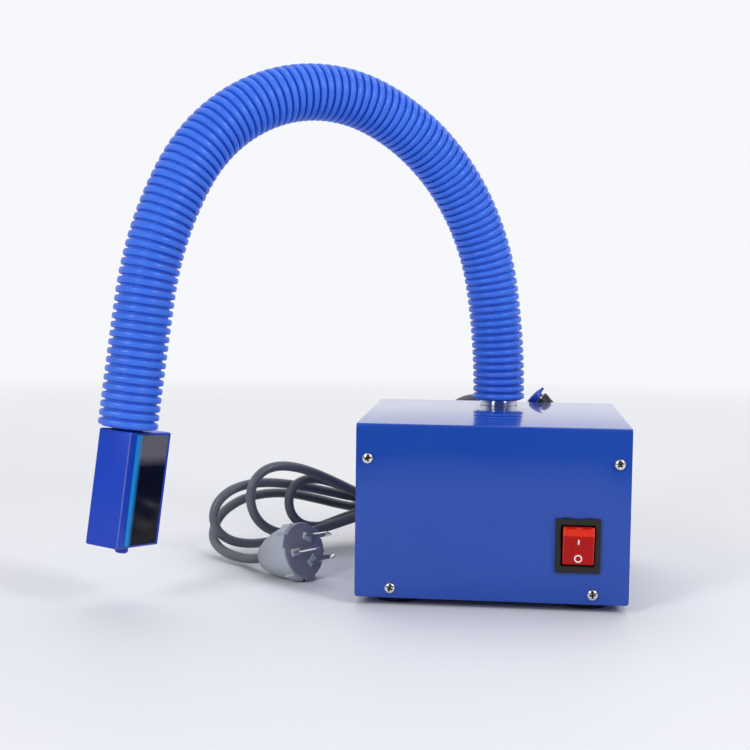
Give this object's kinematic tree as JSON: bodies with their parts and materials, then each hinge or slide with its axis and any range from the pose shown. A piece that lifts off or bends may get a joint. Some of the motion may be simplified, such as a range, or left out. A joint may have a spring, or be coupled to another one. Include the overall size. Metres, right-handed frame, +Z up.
{
  "type": "ionizing air blower",
  "caption": "Bench ionizing air blower: a sheet-metal box with a rocker switch, a ribbed gooseneck that holds a flat air nozzle, a push-in air elbow and a mains lead.",
  "frame": {"origin": "on the floor, under the middle of the box, neck and nozzle taken together without the mains lead", "axes": "+Z up, -Y out of the front with the switch, +X to the right seen from the front"},
  "size_m": [0.3097, 0.271, 0.3235],
  "materials": {
    "blue_paint": "gloss enamel",
    "hose_blue": "glossy plastic",
    "nozzle_paint": "gloss enamel",
    "nickel": "polished plating",
    "steel": "plain steel",
    "brass": "turned",
    "rubber": "matt",
    "black_plastic": "moulded",
    "red_plastic": "moulded",
    "label": "glossy film",
    "ivory_plastic": "moulded",
    "tube_plastic": "extruded",
    "lead_red": "extruded",
    "aluminium": "machined",
    "board": "laminate",
    "cord_pvc": "extruded",
    "plug_pvc": "moulded"
  },
  "bodies": {
    "base": {"wrap": "blue_paint", "chassis": "blue_paint", "front_screws": "nickel", "rear_screws": "nickel", "foot_1": "rubber", "foot_2": "rubber", "foot_3": "rubber", "foot_4": "rubber", "foot_screws": "steel", "foot_nuts": "steel", "switch_housing": "black_plastic", "switch_terminals": "brass", "neck_ferrule": "nickel", "ferrule_nut": "nickel", "neck_core": "steel", "air_line": "tube_plastic", "hv_lead": "lead_red", "elbow_stem": "brass", "elbow_nut": "brass", "inlet_line": "tube_plastic", "valve_body": "aluminium", "valve_coil": "black_plastic", "hv_transformer": "black_plastic", "control_board": "board", "board_standoffs": "brass", "board_screws": "steel", "strain_relief": "black_plastic", "power_cord": "cord_pvc", "cord_hank": "cord_pvc", "plug_lead": "cord_pvc", "cord_tie": "black_plastic", "plug_body": "plug_pvc", "plug_face": "cord_pvc", "plug_pins": "nickel", "hose_1": "hose_blue", "hose_bend_1": "hose_blue"},
    "neck_2": {"hose_2": "hose_blue", "hose_bend_2": "hose_blue"},
    "neck_3": {"hose_3": "hose_blue", "hose_bend_3": "hose_blue"},
    "neck_4": {"hose_4": "hose_blue", "hose_bend_4": "hose_blue"},
    "neck_5": {"hose_5": "hose_blue", "hose_bend_5": "hose_blue"},
    "neck_6": {"hose_6": "hose_blue", "hose_bend_6": "hose_blue"},
    "neck_7": {"hose_7": "hose_blue", "nozzle_ferrule": "black_plastic", "nozzle_shell": "nozzle_paint", "nozzle_cap": "nozzle_paint", "needle_holder": "ivory_plastic", "emitter_needle": "steel", "nozzle_labels": "label"},
    "rocker": {"switch_rocker": "red_plastic"},
    "elbow": {"elbow_body": "black_plastic", "elbow_collet": "brass"},
    "release": {"elbow_release": "hose_blue"}
  },
  "joints": [
    {"name": "neck_sway", "type": "hinge", "parent": "base", "child": "neck_2", "pos_m": [0.07255, 0.06112, 0.17695], "axis": [-0.7876, -0.5935, -0.1656], "range_deg": [-25, 25], "deforming": ["hose_bend_1", "neck_core", "air_line", "hv_lead"]},
    {"name": "neck_bend_low", "type": "hinge", "parent": "neck_2", "child": "neck_3", "pos_m": [0.05067, 0.04463, 0.24681], "axis": [-0.6018, 0.7986, 0], "range_deg": [-4, 35], "deforming": ["hose_bend_2", "neck_core", "air_line", "hv_lead"]},
    {"name": "neck_bend_high", "type": "hinge", "parent": "neck_3", "child": "neck_4", "pos_m": [0.00483, 0.01009, 0.29493], "axis": [-0.6018, 0.7986, 0], "range_deg": [-5, 35], "deforming": ["hose_bend_3", "neck_core", "air_line", "hv_lead"]},
    {"name": "neck_bend_top", "type": "hinge", "parent": "neck_4", "child": "neck_5", "pos_m": [-0.0541, -0.03432, 0.30252], "axis": [0.6018, -0.7986, 0], "range_deg": [-35, 8], "deforming": ["hose_bend_4", "neck_core", "air_line", "hv_lead"]},
    {"name": "neck_bend_drop", "type": "hinge", "parent": "neck_5", "child": "neck_6", "pos_m": [-0.10259, -0.07085, 0.25996], "axis": [0.6018, -0.7986, 0], "range_deg": [-35, 10], "deforming": ["hose_bend_5", "neck_core", "air_line", "hv_lead"]},
    {"name": "tip_sway", "type": "hinge", "parent": "neck_6", "child": "neck_7", "pos_m": [-0.12479, -0.08758, 0.18997], "axis": [0.7833, 0.5903, -0.1948], "range_deg": [-25, 25], "deforming": ["hose_bend_6", "neck_core", "air_line", "hv_lead"]},
    {"name": "switch_rock", "type": "hinge", "parent": "base", "child": "rocker", "pos_m": [0.1249, -0.0676, 0.0395], "axis": [1, 0, 0], "range_deg": [-22, 0]},
    {"name": "elbow_swivel", "type": "hinge", "parent": "base", "child": "elbow", "pos_m": [0.1169, 0.1064, 0.096], "axis": [0, 1, 0], "continuous": true},
    {"name": "release_press", "type": "slide", "parent": "elbow", "child": "release", "axis": [0.7071, 0, -0.7071], "range_m": [0, 0.0016], "stiffness_N_per_m": 1500}
  ]
}
